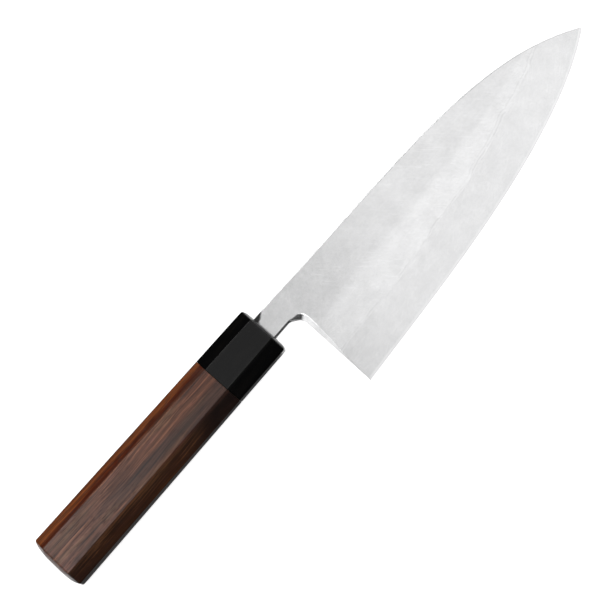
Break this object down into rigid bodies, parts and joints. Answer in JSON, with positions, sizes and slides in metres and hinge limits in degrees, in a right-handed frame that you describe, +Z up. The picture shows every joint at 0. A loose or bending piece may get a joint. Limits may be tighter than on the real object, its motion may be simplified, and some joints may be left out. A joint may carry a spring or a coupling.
{
  "type": "deba knife",
  "caption": "Single-bevel deba kitchen knife: laminated blade with a hollow-ground back, black ferrule and tapered eight-sided rosewood handle on a hidden tang.",
  "frame": {"origin": "middle of the ground that the lying knife covers, on the table plane", "axes": "+X along the knife towards the tip, +Y towards the spine, +Z up from the table; the bevelled face is up, and the knife leans on the ferrule's lower rim and its tip, which tips it by 1.9 degrees"},
  "size_m": [0.307, 0.059, 0.023],
  "materials": {
    "soft_iron": "satin, cloudy stone finish",
    "hard_steel": "brighter satin with fine lengthwise scratches",
    "black_horn": "polished black",
    "rosewood": "oiled, dark brown with darker streaks and open pores",
    "beech": "plain turned",
    "resin": "cured resin"
  },
  "bodies": {
    "root": {"iron_cladding": "soft_iron", "steel_layer": "hard_steel", "ferrule": "black_horn", "grip": "rosewood", "dowel": "beech", "mouth_seal": "resin"}
  },
  "joints": []
}
